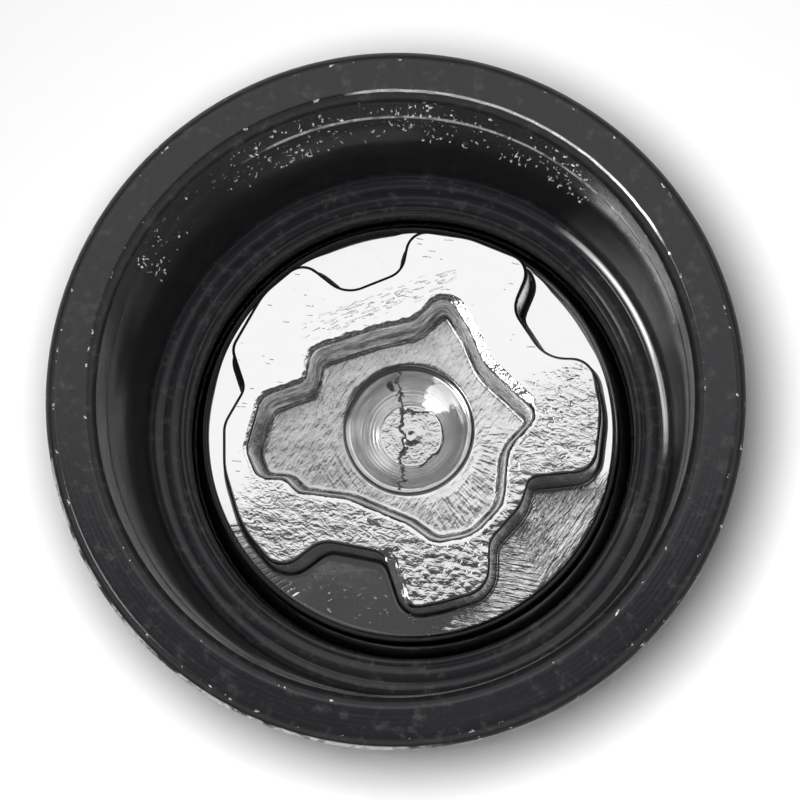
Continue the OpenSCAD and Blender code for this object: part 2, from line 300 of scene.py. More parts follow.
def tidy_normals(mesh, sharp):
    """Merges doubles, points every face outward and marks the edges sharper than sharp degrees."""
    work = bmesh.new()
    work.from_mesh(mesh)
    bmesh.ops.remove_doubles(work, verts=work.verts, dist=1e-8)
    bmesh.ops.recalc_face_normals(work, faces=work.faces)
    work.to_mesh(mesh)
    work.free()
    mesh.shade_smooth()
    mesh.update()
    if sharp:
        mesh.set_sharp_from_angle(angle=np.radians(sharp))


def linked(name, data):
    """New object of the scene for the data."""
    made = bpy.data.objects.new(name, data)
    bpy.context.scene.collection.objects.link(made)
    return made


def add_piece(name, mesh, materials, body, slot, *nodes):
    """Object for a finished mesh, riding on its body and standing for its CAD nodes."""
    piece = linked(name, mesh)
    if not len(mesh.materials):
        for material in materials:
            mesh.materials.append(material)
    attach(piece, body)
    if nodes:
        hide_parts(*nodes)
    return piece


class Shader:
    """Short hand for building one node material, with places in millimetres."""

    def __init__(self, name):
        self.material = bpy.data.materials.new(name)
        self.material.use_nodes = True
        self.tree = self.material.node_tree
        self.surface = self.tree.nodes["Principled BSDF"]
        coordinates = self.tree.nodes.new("ShaderNodeTexCoord")
        place = self.node("ShaderNodeMapping", Vector=coordinates.outputs["Object"])
        place.inputs["Scale"].default_value = (1 / MM,) * 3
        self.at = place.outputs[0]
        split = self.node("ShaderNodeSeparateXYZ", Vector=self.at)
        self.x, self.y, self.z = split.outputs
        self.r = self.length(self.x, self.y)
        self.angle = self.math("ARCTAN2", self.y, self.x)
        true_normal = self.tree.nodes.new("ShaderNodeNewGeometry").outputs["True Normal"]
        self.facing = self.node("ShaderNodeSeparateXYZ", Vector=true_normal).outputs[2]

    def node(self, kind, operation=None, **inputs):
        made = self.tree.nodes.new(kind)
        if operation:
            made.operation = operation
        for key, value in inputs.items():
            self.feed(made.inputs[key], value)
        return made

    def feed(self, socket, value):
        if isinstance(value, bpy.types.NodeSocket):
            self.tree.links.new(value, socket)
        else:
            socket.default_value = value

    def math(self, operation, *values, clamp=False):
        made = self.tree.nodes.new("ShaderNodeMath")
        made.operation, made.use_clamp = operation, clamp
        for socket, value in zip(made.inputs, values):
            self.feed(socket, value)
        return made.outputs[0]

    def chain(self, operation, values):
        """Each value joined to the result of those before it."""
        total = values[0]
        for value in values[1:]:
            total = self.math(operation, total, value)
        return total

    def add(self, *values):
        return self.chain("ADD", values)

    def times(self, *values):
        return self.chain("MULTIPLY", values)

    def most(self, *values):
        return self.chain("MAXIMUM", values)

    def less(self, value, other):
        return self.math("SUBTRACT", value, other)

    def ramp(self, value, low, high, to_low=0.0, to_high=1.0):
        """Smooth step of value from low to high."""
        made = self.tree.nodes.new("ShaderNodeMapRange")
        made.interpolation_type = "SMOOTHSTEP"
        for key, number in (("From Min", low), ("From Max", high), ("To Min", to_low), ("To Max", to_high)):
            made.inputs[key].default_value = number
        self.feed(made.inputs["Value"], value)
        return made.outputs["Result"]

    def band(self, value, middle, width, soft=0.3):
        """One inside middle plus or minus width, falling to zero over a soft edge."""
        off = self.math("ABSOLUTE", self.less(value, middle))
        return self.ramp(off, width * (1 + soft), width * (1 - soft))

    def vector(self, x, y):
        return self.node("ShaderNodeCombineXYZ", X=x, Y=y).outputs[0]

    def length(self, x, y):
        made = self.node("ShaderNodeVectorMath", operation="LENGTH", Vector=self.vector(x, y))
        return made.outputs["Value"]

    def noise(self, scale, detail=4.0, rough=0.55, stretch=(1, 1, 1), turn=0.0, distortion=0.0, seed=0.0,
              at=None):
        """Fractal noise with features 1 / scale millimetres wide, its place turned and then stretched."""
        place = at or self.at
        if turn:
            turned = self.node("ShaderNodeMapping", Vector=place)
            turned.inputs["Rotation"].default_value = (0, 0, np.radians(turn))
            place = turned.outputs[0]
        mapped = self.node("ShaderNodeMapping", Vector=place)
        mapped.inputs["Scale"].default_value = stretch
        mapped.inputs["Location"].default_value = (seed, seed * 0.7, seed * 1.3)
        made = self.node("ShaderNodeTexNoise", Vector=mapped.outputs[0])
        made.inputs["Scale"].default_value = scale
        made.inputs["Detail"].default_value = detail
        made.inputs["Roughness"].default_value = rough
        made.inputs["Distortion"].default_value = distortion
        return made.outputs["Fac"]

    def swing(self, width, *shape, **more):
        """Noise from minus to plus half the width."""
        return self.times(self.less(self.noise(*shape, **more), 0.5), width)

    def away(self, x, y):
        """Distance from the line through x and y that runs along the axis."""
        return self.length(self.add(self.x, -x), self.add(self.y, -y))

    def bump(self, height, distance, before=None):
        """Bump of height times distance in millimetres."""
        made = self.tree.nodes.new("ShaderNodeBump")
        made.inputs["Strength"].default_value = 1.0
        made.inputs["Distance"].default_value = distance * MM
        self.feed(made.inputs["Height"], height)
        if before is not None:
            self.feed(made.inputs["Normal"], before)
        return made.outputs[0]

    def mix(self, share, low, high):
        made = self.tree.nodes.new("ShaderNodeMix")
        made.data_type = "RGBA"
        self.feed(made.inputs[0], share)
        for socket, value in ((made.inputs[6], low), (made.inputs[7], high)):
            if not isinstance(value, bpy.types.NodeSocket):
                value = (*value, 1.0)
            self.feed(socket, value)
        return made.outputs[2]

    def blend(self, share, low, high):
        """Number between low and high by share."""
        return self.add(self.times(share, self.less(high, low)), low)


def finish_steel(s, normal, rough, grime, dark=None, tone=None, metal=1.0):
    """Feeds the shader of one zone of the plated steel: bright metal under a little grime."""
    finishes = bpy.context.scene.nut_finishes
    stain = s.ramp(s.noise(1.6, 5, 0.6, seed=6.0), 0.50, 0.72)
    dulled = s.add(s.times(grime, stain), s.times(grime, 0.35))
    colour = s.mix(dulled, tuple(finishes.steel), (0.28, 0.28, 0.28))
    # tone scales the colour; besides smears it brings in the dish's painted highlight and the pocket floor's
    # painted shade
    if tone is not None:
        colour = s.mix(tone, (0, 0, 0), colour)
    if dark is not None:
        colour = s.mix(dark, colour, (0.03, 0.03, 0.03))
    s.feed(s.surface.inputs["Base Color"], colour)
    s.feed(s.surface.inputs["Roughness"], s.add(finishes.steel_rough, rough, s.swing(0.05, 0.8, 4)))
    s.feed(s.surface.inputs["Normal"], normal)
    s.feed(s.surface.inputs["Metallic"], metal)
    return s.material


def island_steel():
    """Top of the island: smooth at the upper left, rippled and knobbly towards the bottom right."""
    s = Shader("plated_steel_island")
    slant = s.add(s.times(s.x, 0.38), s.times(s.y, -0.92), s.swing(5.0, 0.4, 3))
    level = s.ramp(s.facing, 0.98, 0.995)
    worked = s.times(s.ramp(slant, -0.8, 2.4), level)
    deep = s.times(s.ramp(slant, 2.6, 6.0), level)
    wave = s.noise(1.9, 2, 0.5, stretch=(0.75, 1.4, 1), turn=30, distortion=0.9)
    wave = s.math("ABSOLUTE", s.less(wave, 0.5))
    drag = s.noise(2.0, 2, 0.5, stretch=(0.45, 2.0, 1), turn=8, distortion=0.5, seed=5.0)
    ripple = s.noise(4.2, 2, 0.5, stretch=(0.8, 1.2, 1), turn=-6, distortion=0.8, seed=3.0)
    pits = s.ramp(s.noise(3.6, 2, 0.5, seed=3.1), 0.60, 0.72)
    knobs = s.node("ShaderNodeTexVoronoi", Vector=s.at, Scale=3.4).outputs["Distance"]
    along_pocket = s.math("ABSOLUTE", s.less(s.add(s.times(s.x, -0.34), s.times(s.y, 0.94)), 4.75))
    row = s.times(s.ramp(along_pocket, 0.55, 0.1), s.ramp(s.x, 2.2, 1.2), s.ramp(s.x, -4.2, -3.4))
    dash = s.ramp(s.noise(3.4, 1, 0.4, stretch=(0.7, 4.2, 1), turn=-19, seed=7.7), 0.60, 0.65)
    stray = s.ramp(s.noise(2.6, 1, 0.4, stretch=(0.6, 4.0, 1), turn=8, seed=1.7), 0.73, 0.77)
    normal = s.bump(s.times(wave, worked), 0.046)
    normal = s.bump(s.times(drag, deep), 0.045, normal)
    normal = s.bump(s.times(ripple, worked), 0.020, normal)
    normal = s.bump(s.times(pits, worked), -0.014, normal)
    normal = s.bump(s.times(knobs, deep), -0.045, normal)
    normal = s.bump(s.most(s.times(dash, row), stray), -0.012, normal)
    normal = s.bump(s.noise(1.2, 2), 0.004, normal)
    grime = s.add(s.times(worked, 0.12), s.times(deep, 0.38))
    return finish_steel(s, normal, s.times(worked, 0.13), grime)


def pocket_steel(sizes):
    """Floor and walls of the pocket: milled round the dish, ticked across it at the lower right, with painted
    shade on its floor towards the upper left.
    """
    s = Shader("plated_steel_pocket")
    floor_z = ISLAND_Z - sizes.pocket_depth
    high = s.ramp(s.z, floor_z + 0.9, floor_z + 2.5)
    level = s.ramp(s.facing, 0.8, 0.95)
    upright = s.ramp(s.facing, 0.6, 0.3)
    sloping = s.times(s.ramp(s.facing, 0.985, 0.95), s.ramp(s.facing, 0.8, 0.86))
    radial = s.noise(1.0, 2, 0.5, at=s.vector(s.times(s.r, 1.2), s.times(s.angle, 16.0)), seed=2.0)
    radial_zone = s.times(s.ramp(s.x, 0.2, 1.6), s.ramp(s.y, 0.8, -0.8), s.ramp(s.r, 2.8, 3.1), level)
    round_about = s.noise(1.0, 2, 0.5, at=s.vector(s.times(s.r, 5.5), s.times(s.angle, 2.4)), seed=9.0)
    round_zone = s.times(s.ramp(s.x, -1.6, -2.6), s.ramp(s.r, 4.2, 3.4), level)
    scrapes = s.noise(3.0, 3, 0.6, stretch=(1.6, 0.6, 1), turn=30, seed=8.0)
    drawn = s.noise(2.6, 3, stretch=(1, 1, 0.4), seed=11.0)
    grit = s.noise(4.5, 3, 0.6, distortion=0.5, seed=27.0)
    gritty = s.times(s.ramp(s.facing, 0.97, 0.8), s.blend(high, 1.0, s.ramp(s.y, 0.6, 1.6, 0.0, 0.5)))
    dents = s.noise(1.7, 3, 0.6, seed=33.0)
    normal = s.bump(s.times(scrapes, level), 0.032)
    normal = s.bump(s.times(radial, radial_zone), 0.05, normal)
    normal = s.bump(s.times(round_about, round_zone), 0.03, normal)
    normal = s.bump(s.times(drawn, upright), 0.09, normal)
    normal = s.bump(s.times(grit, gritty), 0.20, normal)
    normal = s.bump(s.times(dents, sloping, high), 0.07, normal)

    smear = s.ramp(s.noise(1.0, 4, 0.65, stretch=(1, 1, 2), seed=17.0), 0.35, 0.65)
    # painted shade: the floor's colour darker towards the upper left, under the upper walls, and lighter
    # towards the lower right
    shade_to_upper_left = s.ramp(s.less(s.times(s.y, 0.7), s.x), 2.0, -3.0, 0.8, 1.15)
    # floor colour: real smears times the painted shade
    floor_smear_and_shade = s.times(s.blend(smear, 0.74, 0.94), shade_to_upper_left)
    tone = s.blend(high, s.blend(level, s.blend(smear, 0.35, 1.0), floor_smear_and_shade), 1.0)
    rough = s.add(s.times(level, 0.03), s.blend(high, 0.12, 0.03))
    dull = s.times(upright, s.ramp(s.y, 0.0, 1.0), s.blend(smear, 0.3, 0.7))
    grime = s.add(s.times(upright, 0.1), 0.2)
    return finish_steel(s, normal, rough, grime, tone=tone, metal=s.less(1.0, dull))


def dish_steel(sizes):
    """Round dish: turned wall, rough flat with a pip, a crack with broken edges, and a painted highlight at
    its upper right.
    """
    s = Shader("plated_steel_dish")
    bowl_r = sizes.dish_r - sizes.dish_ring
    inside = s.ramp(s.r, bowl_r + 0.08, bowl_r + 0.02)
    flat = s.ramp(s.r, sizes.dish_flat_r + 0.05, sizes.dish_flat_r - 0.05)
    wall = s.times(inside, s.less(1.0, flat))
    turned = s.math("SINE", s.add(s.times(s.r, 46.0), s.times(s.noise(0.9, 2, seed=6.0), 6.0)))
    turned = s.times(turned, s.noise(0.9, 2, 0.5, seed=9.0), inside, s.blend(flat, 1.0, 0.25))

    def broken(line, seed, width):
        """The line with an uneven course."""
        return s.add(line, s.swing(width, 1.5, 3, 0.6, seed=seed))

    crack = s.times(s.band(broken(s.add(s.x, -CRACK_X), 2.0, 1.3), 0.0, 0.055, 0.7),
                    s.ramp(s.noise(1.8, 3, seed=4.0), 0.28, 0.36))
    branch = s.times(s.band(broken(s.add(s.y, -BRANCH_Y), 12.0, 0.9), 0.0, 0.03, 0.7),
                     s.ramp(s.x, -0.5, -0.4), s.ramp(s.x, 1.0, 0.8))
    curved = s.times(s.band(broken(s.r, 15.0, 0.5), 1.3, 0.03, 0.7),
                     s.ramp(s.angle, 0.9, 0.6), s.ramp(s.angle, -1.5, -1.2))
    chip = s.ramp(broken(s.away(*CHIP_AT), 16.0, 0.5), 0.17, 0.11)
    dark = s.times(s.most(crack, chip, branch, curved), inside)
    # painted highlight: a bright spot at the dish's upper right, lighter in colour and less metallic so that
    # it shows white
    painted_glare = s.times(s.ramp(broken(s.away(*PAINTED_GLARE_AT), 19.0, 1.2), 0.75, 0.55), inside)
    normal = s.bump(turned, 0.005)
    normal = s.bump(s.times(s.noise(2.6, 3, 0.6, distortion=0.6, seed=13.0), flat), 0.035, normal)
    normal = s.bump(dark, -0.05, normal)
    rough = s.add(s.blend(inside, 0.12, 0.07), s.times(wall, 0.06))
    grime = s.blend(inside, 0.3, 0.15)
    # the painted highlight raises the colour here, and the next line takes metal away under it
    tone = s.add(s.blend(inside, 0.62, 0.85), s.times(painted_glare, 0.13))
    metal = s.math("SUBTRACT", 1.0, s.add(s.times(wall, 0.12), s.times(painted_glare, 0.7)), clamp=True)
    return finish_steel(s, normal, rough, grime, s.times(dark, 0.9), tone, metal)


def plain_steel(sizes):
    """Floor and outside of the head: mirror bright, with strokes and chatter marks at the bottom."""
    s = Shader("plated_steel_plain")
    floor_z = ISLAND_Z - sizes.island_h
    on_floor = s.band(s.z, floor_z, 0.05)
    on_wall = s.ramp(s.z, floor_z + 0.05, floor_z + 0.2)
    strokes_up = s.noise(2.6, 3, 0.55, stretch=(2.6, 0.4, 1), turn=33, distortion=0.3, seed=4.0)
    strokes_over = s.noise(2.6, 3, 0.55, stretch=(0.4, 2.8, 1), turn=8, distortion=0.3, seed=5.0)
    strokes = s.blend(s.ramp(s.add(s.x, s.times(s.y, 0.5)), 1.6, 2.6), strokes_over, strokes_up)
    border = s.add(s.x, s.swing(3.0, 0.9, 3, 0.6, seed=23.0))
    stroke_zone = s.times(s.ramp(border, 1.0, 3.6), s.ramp(s.y, -1.2, -2.4), on_floor)
    tick_zone = s.times(s.ramp(s.r, 7.72, 7.85), s.ramp(s.angle, -2.16, -2.24), s.ramp(s.angle, -2.68, -2.6))
    ticks = s.math("SINE", s.add(s.times(s.angle, 190.0), s.times(s.r, 9.0)))
    ticks = s.times(s.ramp(ticks, 0.2, 0.9), tick_zone, on_floor)
    specks = s.times(s.ramp(s.noise(5.0, 2, 0.5, seed=29.0), 0.66, 0.72), s.ramp(s.y, -3.5, -4.5), on_floor)
    normal = s.bump(s.times(s.noise(1.2, 2), on_floor), 0.004)
    normal = s.bump(specks, 0.012, normal)
    normal = s.bump(s.times(strokes, stroke_zone), 0.07, normal)
    normal = s.bump(ticks, -0.02, normal)
    normal = s.bump(s.times(s.noise(2.6, 3, stretch=(1, 1, 0.4), seed=11.0), on_wall), 0.03, normal)
    rough = s.add(s.times(stroke_zone, 0.10), s.times(on_wall, 0.08))
    return finish_steel(s, normal, rough, s.add(s.times(on_wall, 0.25), s.times(stroke_zone, 0.2), 0.03))


def black_coating(finishes, sizes):
    """Satin black coating over turned steel, with bare metal along edges that wear has bared, and a painted
    highlight of bare metal on the shelf's fillet.
    """
    s = Shader("black_coating")
    top, lip_z = RIM_Z, RIM_Z - sizes.mouth_depth
    wide = sizes.mouth_r + sizes.relief_w
    level = s.ramp(s.facing, 0.7, 0.9)
    upright = s.ramp(s.math("ABSOLUTE", s.facing), 0.5, 0.2)

    def sector(middle, half, soft=0.25):
        """One within half of the direction middle, both in degrees."""
        off = s.math("WRAP", s.less(s.angle, np.radians(middle)), np.pi, -np.pi)
        return s.ramp(s.math("ABSOLUTE", off), np.radians(half) + soft, np.radians(half))

    nick = s.ramp(s.noise(2.6, 4, 0.65, seed=8.0), 0.63, 0.67)
    scuff = s.ramp(s.noise(1.4, 5, 0.6, seed=12.0), 0.42, 0.6)
    at_rim = s.ramp(s.z, top - 0.6, top - 0.3)
    in_mouth = s.ramp(s.r, wide + 0.2, wide + 0.1)
    outer = s.times(s.band(s.r, COLLAR_R - 0.02, 0.08), s.ramp(s.z, top - 0.75, top - 0.25),
                    s.most(nick, s.times(sector(232, 34), scuff)))
    face = s.times(s.band(s.r, COLLAR_R - sizes.rim_chamfer, 0.04), at_rim, nick)
    mouth = s.band(s.add(s.r, s.swing(0.05, 1.6, 3, seed=21.0)), wide + sizes.rim_chamfer + 0.01, 0.035, 0.6)
    mouth = s.times(mouth, at_rim, s.most(nick, s.times(sector(64, 30, 0.1), s.blend(scuff, 0.5, 1.0))))
    ledge = s.times(s.band(s.z, top - sizes.relief_h - 0.02, 0.07), in_mouth,
                    s.blend(scuff, 0.1, 0.7), sector(76, 34))
    flaked = s.times(s.ramp(s.noise(3.2, 4, 0.7, seed=31.0), 0.66, 0.70), upright,
                     s.ramp(s.z, top - 7, top - 3), sector(80, 60))
    # painted highlight, not wear: a thin crescent of bright bare-metal colour on the shelf's fillet, where
    # the lamp's reflection falls
    crescent_highlight = s.times(s.band(s.r, sizes.mouth_r - 0.31, 0.08, 0.6), s.ramp(s.z, lip_z + 0.6, lip_z + 0.4),
                       sector(24, 12, 0.35))
    # bare metal of real wear at the edges and flakes, together with the painted crescent highlight
    worn_and_highlight = s.most(outer, face, mouth, ledge, flaked, crescent_highlight)

    rings = s.noise(1.0, 3, 0.6, at=s.vector(s.times(s.r, 2.4), s.times(s.angle, 0.9)), seed=1.0)
    lines = s.noise(1.0, 4, 0.65, at=s.vector(s.times(s.z, 5.0), s.times(s.angle, 1.6)), seed=2.0)
    normal = s.bump(s.times(rings, level, s.blend(at_rim, 0.4, 1.0)), 0.014)
    normal = s.bump(s.times(lines, upright), 0.03, normal)
    normal = s.bump(s.noise(7.0, 4, 0.6, seed=3.0), 0.004, normal)
    normal = s.bump(worn_and_highlight, -0.01, normal)
    dust = s.ramp(s.noise(2.2, 5, 0.65, seed=14.0), 0.5, 0.75)
    at_lip = s.ramp(s.z, lip_z + 0.3, lip_z + 0.1)
    colour = s.mix(s.times(dust, 0.3), tuple(finishes.coating), (0.05, 0.05, 0.05))
    colour = s.mix(worn_and_highlight, colour, (0.80, 0.80, 0.80))
    colour = s.mix(s.times(at_lip, upright), colour, (0.04, 0.04, 0.04))
    rough = s.add(finishes.coating_rough, s.times(dust, 0.06), s.times(at_lip, 0.04), s.times(worn_and_highlight, 0.1))
    s.feed(s.surface.inputs["Base Color"], colour)
    s.feed(s.surface.inputs["Metallic"], worn_and_highlight)
    s.feed(s.surface.inputs["Roughness"], rough)
    s.feed(s.surface.inputs["Normal"], normal)
    s.surface.inputs["Specular IOR Level"].default_value = finishes.coating_gloss
    return s.material


def spring_steel(finishes):
    """Dull drawn wire."""
    s = Shader("spring_steel")
    s.feed(s.surface.inputs["Base Color"], s.mix(s.noise(2.0, 4), tuple(finishes.spring), (0.18, 0.18, 0.18)))
    s.feed(s.surface.inputs["Roughness"], s.blend(s.noise(3.0, 3, seed=2.0), 0.3, 0.5))
    s.feed(s.surface.inputs["Normal"], s.bump(s.noise(4.0, 3, stretch=(1, 1, 5)), 0.006))
    s.surface.inputs["Metallic"].default_value = 1.0
    return s.material


def bright_chip():
    """Bare metal of the specks and flakes."""
    s = Shader("bright_chip")
    s.feed(s.surface.inputs["Base Color"], s.mix(s.noise(8.0, 2), (0.8, 0.8, 0.8), (0.3, 0.3, 0.3)))
    s.feed(s.surface.inputs["Roughness"], s.blend(s.noise(5.0, 2, seed=2.0), 0.3, 0.6))
    s.surface.inputs["Metallic"].default_value = 0.5
    return s.material


def quarter(steps):
    """Angles of a quarter turn, both ends kept."""
    return [np.pi / 2 * k / steps for k in range(steps + 1)]


def edge_strip(reach_of, outward, rounding, share, angles, width, bevel):
    """Ring of an upper edge at its share of the way up: rounded, or flat where wear has cut the bevel into
    it.
    """
    middle, half, fade, fall = bevel
    bevelled = np.clip((half + fade - np.abs(np.degrees(angles) - middle)) / fade, 0, 1)
    turn = share * np.pi / 2
    round_in, round_down = rounding * (1 - np.cos(turn)), rounding * (1 - np.sin(turn))
    near = reach_of(ISLAND_Z - round_down, outward * round_in)
    flat = reach_of(ISLAND_Z - round_down, outward * width * share)
    down = round_down + (width * fall * (1 - share) - round_down) * bevelled
    return near + (flat - near) * bevelled, ISLAND_Z - down, bevelled


def head_stations(sizes, angles):
    """Rings from the middle of the dish to the head's edge as (reach, height), and each ring's material."""
    floor_z = ISLAND_Z - sizes.island_h
    pocket_z = ISLAND_Z - sizes.pocket_depth
    dish_z = pocket_z - sizes.dish_depth
    even = np.ones(len(angles))
    stations, parts = [], []

    def put(reach, height, part):
        stations.append((reach * even, height * even))
        parts.append(part)

    def pocket_reach(height, extra=0.0):
        slope = sizes.pocket_draft * (ISLAND_Z - height) / sizes.pocket_depth
        return reach_at(POCKET_CORNERS, extra - slope, angles)

    def island_reach(height, extra=0.0):
        slope = sizes.island_draft * (ISLAND_Z - height) / sizes.island_h
        return reach_at(ISLAND_CORNERS, extra + slope, angles)

    # Dish: its flat with the pip, its wall as a part of a circle, and the shallow ring round it
    for share in (0.06, 0.12, 0.2, 0.26, 0.4, 0.6, 0.8, 0.96):
        pip = sizes.pip_h * np.exp(-((share - 0.16) / 0.07) ** 2)
        put(sizes.dish_flat_r * share, dish_z + pip, DISH)
    bowl_r, ring_z = sizes.dish_r - sizes.dish_ring, pocket_z - sizes.ring_depth
    low, high = 0.5, 1.46
    for turn in np.linspace(low, high, 15):
        share = (np.sin(turn) - np.sin(low)) / (np.sin(high) - np.sin(low))
        lift = (np.cos(low) - np.cos(turn)) / (np.cos(low) - np.cos(high))
        put(sizes.dish_flat_r + (bowl_r - sizes.dish_flat_r) * share, dish_z + (ring_z - dish_z) * lift, DISH)
    put(bowl_r + 0.02, ring_z + 0.01, DISH)
    put(bowl_r + 0.06, ring_z + 0.02, DISH)
    put(sizes.dish_r - 0.05, ring_z + 0.04, DISH)
    put(sizes.dish_r + 0.01, pocket_z - 0.02, DISH)
    put(sizes.dish_r + 0.05, pocket_z, DISH)

    # Pocket: floor, fillet, wall and rounded edge
    fillet, edge, lip = sizes.floor_fillet, sizes.edge_round, sizes.pocket_round
    foot = pocket_reach(pocket_z, -fillet)
    start = (sizes.dish_r + 0.08) * even
    for share in np.linspace(0, 1, 14)[1:]:
        put(start + (foot - start) * share, pocket_z, POCKET)
    for a in quarter(4)[1:]:
        height = pocket_z + fillet * (1 - np.cos(a))
        put(pocket_reach(height, -fillet * (1 - np.sin(a))), height, POCKET)
    for height in np.linspace(pocket_z + fillet, ISLAND_Z - lip, 6)[1:]:
        put(pocket_reach(height), height, POCKET)
    ragged = ragged_edge(sizes, angles, pocket_reach(ISLAND_Z))
    for share in np.linspace(0, 1, 9)[1:]:
        reach, height, bevelled = edge_strip(pocket_reach, 1, lip, share, angles, sizes.bevel, POCKET_BEVEL)
        put(reach + ragged * (1 - 0.5 * bevelled) * share, height, POCKET)

    # Island: top, rounded edge and wall
    inner = stations[-1][0]
    outer = edge_strip(island_reach, -1, edge, 1.0, angles, sizes.bevel, LOBE_BEVEL)[0]
    for share in (0.003, *np.linspace(0, 1, 44)[1:-1], 0.997, 1.0):
        put(inner + (outer - inner) * share, ISLAND_Z, ISLAND)
    for share in np.linspace(1, 0, 6)[1:]:
        reach, height, _ = edge_strip(island_reach, -1, edge, share, angles, sizes.bevel, LOBE_BEVEL)
        put(reach, height, ISLAND)
    land = sizes.head_r - sizes.head_chamfer
    for height in np.linspace(ISLAND_Z - edge, floor_z + fillet, 8)[1:]:
        put(np.minimum(island_reach(height), land + 0.02), height, PLAIN)
    for a in quarter(3)[1:]:
        height = floor_z + fillet * (1 - np.sin(a))
        put(np.minimum(island_reach(height, fillet * (1 - np.cos(a))), land + 0.03), height, PLAIN)

    # Floor out to the chamfered edge of the head
    foot = stations[-1][0]
    edge_reach = np.maximum(land, foot + 0.02)
    for share in np.linspace(0, 1, 14)[1:]:
        put(foot + (edge_reach - foot) * share, floor_z, PLAIN)
    for share in (0.15, 0.85):
        height = floor_z - sizes.head_chamfer * share ** 1.2
        put(edge_reach + (sizes.head_r - edge_reach) * share, height, PLAIN)
    return stations, parts


def ragged_edge(sizes, angles, reach):
    """Unevenness of the pocket's upper edge along each ray, strongest on its far side."""
    fineness = 2.6
    shift = []
    for a, r in zip(angles, reach):
        spot = Vector((r * np.cos(a), r * np.sin(a), 0.5)) * fineness
        far = min(max((spot.y / fineness + 0.5) / 2.5, 0.25), 1.0)
        shift.append(noise.fractal(spot, 0.6, 2.2, 3) * sizes.ragged * far)
    return np.array(shift)


def chamfer(r, z, size, down=1):
    """Chamfered outer corner of a section with softened ends, at its top, or at its foot where down is -1."""
    soft = 0.02
    return [(r - size - soft, z), (r - size + soft, z - soft * down),
            (r - soft, z - (size - soft) * down), (r, z - (size + soft) * down)]


def shank_profile(sizes):
    """Turned outside of the nut body below the head, then its nose and drilled hole, as (radius, height)."""
    head_r, journal_r, flange_r = sizes.head_r, sizes.journal_r, CROWN.x / MM
    floor_z, shoulder_z = ISLAND_Z - sizes.island_h, sizes.shoulder_z
    groove_top, groove_low = RING_Z + sizes.groove_h / 2, RING_Z - sizes.groove_h / 2
    return [
        (head_r, floor_z - sizes.head_chamfer), (head_r, floor_z - 0.6), (head_r, shoulder_z + 0.15),
        (head_r + 0.05, shoulder_z + 0.04), (head_r + 0.15, shoulder_z),
        *chamfer(journal_r, shoulder_z, sizes.journal_chamfer),
        (journal_r, groove_top + 0.04), (journal_r - 0.04, groove_top),
        (sizes.groove_r, groove_top), (sizes.groove_r, groove_low),
        (journal_r - 0.04, groove_low), (journal_r, groove_low - 0.04),
        (journal_r, sizes.flange_z + 0.12), (journal_r + 0.12, sizes.flange_z),
        *chamfer(flange_r, sizes.flange_z, sizes.flange_chamfer),
        *reversed(chamfer(flange_r, sizes.seat_z, sizes.flange_chamfer, -1)),
        (sizes.seat_r + 0.03, sizes.seat_z), (sizes.seat_r - 0.03, sizes.seat_z - 0.05),
        (sizes.nose_r + 0.05, 0.09), (sizes.nose_r - 0.01, 0.02), (sizes.nose_r - 0.06, 0.0),
        (sizes.thread_r + 0.15, 0.0), (sizes.thread_r + 0.08, 0.02), (sizes.thread_r, 0.12),
        (sizes.thread_r, sizes.drill_z - 1.2), (sizes.minor_r, sizes.drill_z - 0.6),
        (sizes.minor_r, sizes.drill_z), (0.3, sizes.drill_z + sizes.drill_tip),
    ]


def roughen_top(rings, sizes, angles):
    """Wrinkles of the worked part of the island's top, as a real relief."""
    for reach, height in rings:
        x, y = reach * np.cos(angles), reach * np.sin(angles)
        for i in np.nonzero(height > ISLAND_Z - 0.02)[0]:
            slant = 0.42 * x[i] - 0.9 * y[i]
            worked = min(max((slant + 0.6) / 2.8, 0.0), 1.0)
            wave = noise.fractal(Vector((x[i] * 1.1, y[i] * 2.3, 1.0)) * 1.2, 0.9, 2.1, 2)
            height[i] -= worked * sizes.wrinkle * max(wave + 0.35, 0.0)


class NUT_OT_nut_body(bpy.types.Operator):
    """Make the nut body with its key pattern"""

    bl_idname = "wheel_nut.nut_body"
    bl_label = "Nut body"

    def execute(self, context):
        sizes = context.scene.nut_sizes
        angles = ray_angles(sizes.rays)
        stations, parts = head_stations(sizes, angles)
        roughen_top(stations, sizes, angles)
        even = np.ones(len(angles))
        shank = shank_profile(sizes)
        stations += [(r * even, z * even) for r, z in shank]
        parts += [PLAIN] * len(shank)
        rings = [list(zip(r * np.cos(angles), r * np.sin(angles), z)) for r, z in stations]
        dish_z = stations[0][1][0]
        drill_end = (0, 0, sizes.drill_z + sizes.drill_tip)
        mesh = stacked_mesh("nut_body_dressed", rings, parts, (0, 0, dish_z), drill_end)
        steels = (dish_steel(sizes), pocket_steel(sizes), island_steel(), plain_steel(sizes))
        add_piece("nut_body_dressed", mesh, steels, NUT, "plated_steel", "nut_body")
        return {"FINISHED"}


def new_tree(name, *inputs):
    """Geometry node tree with a geometry input, the named inputs and a geometry output."""
    tree = bpy.data.node_groups.new(name, "GeometryNodeTree")
    tree.interface.new_socket("Geometry", in_out="INPUT", socket_type="NodeSocketGeometry")
    for label, kind, value in inputs:
        socket = tree.interface.new_socket(label, in_out="INPUT", socket_type=kind)
        if value is not None:
            socket.default_value = value
    tree.interface.new_socket("Geometry", in_out="OUTPUT", socket_type="NodeSocketGeometry")
    return tree, tree.nodes.new("NodeGroupInput"), tree.nodes.new("NodeGroupOutput")


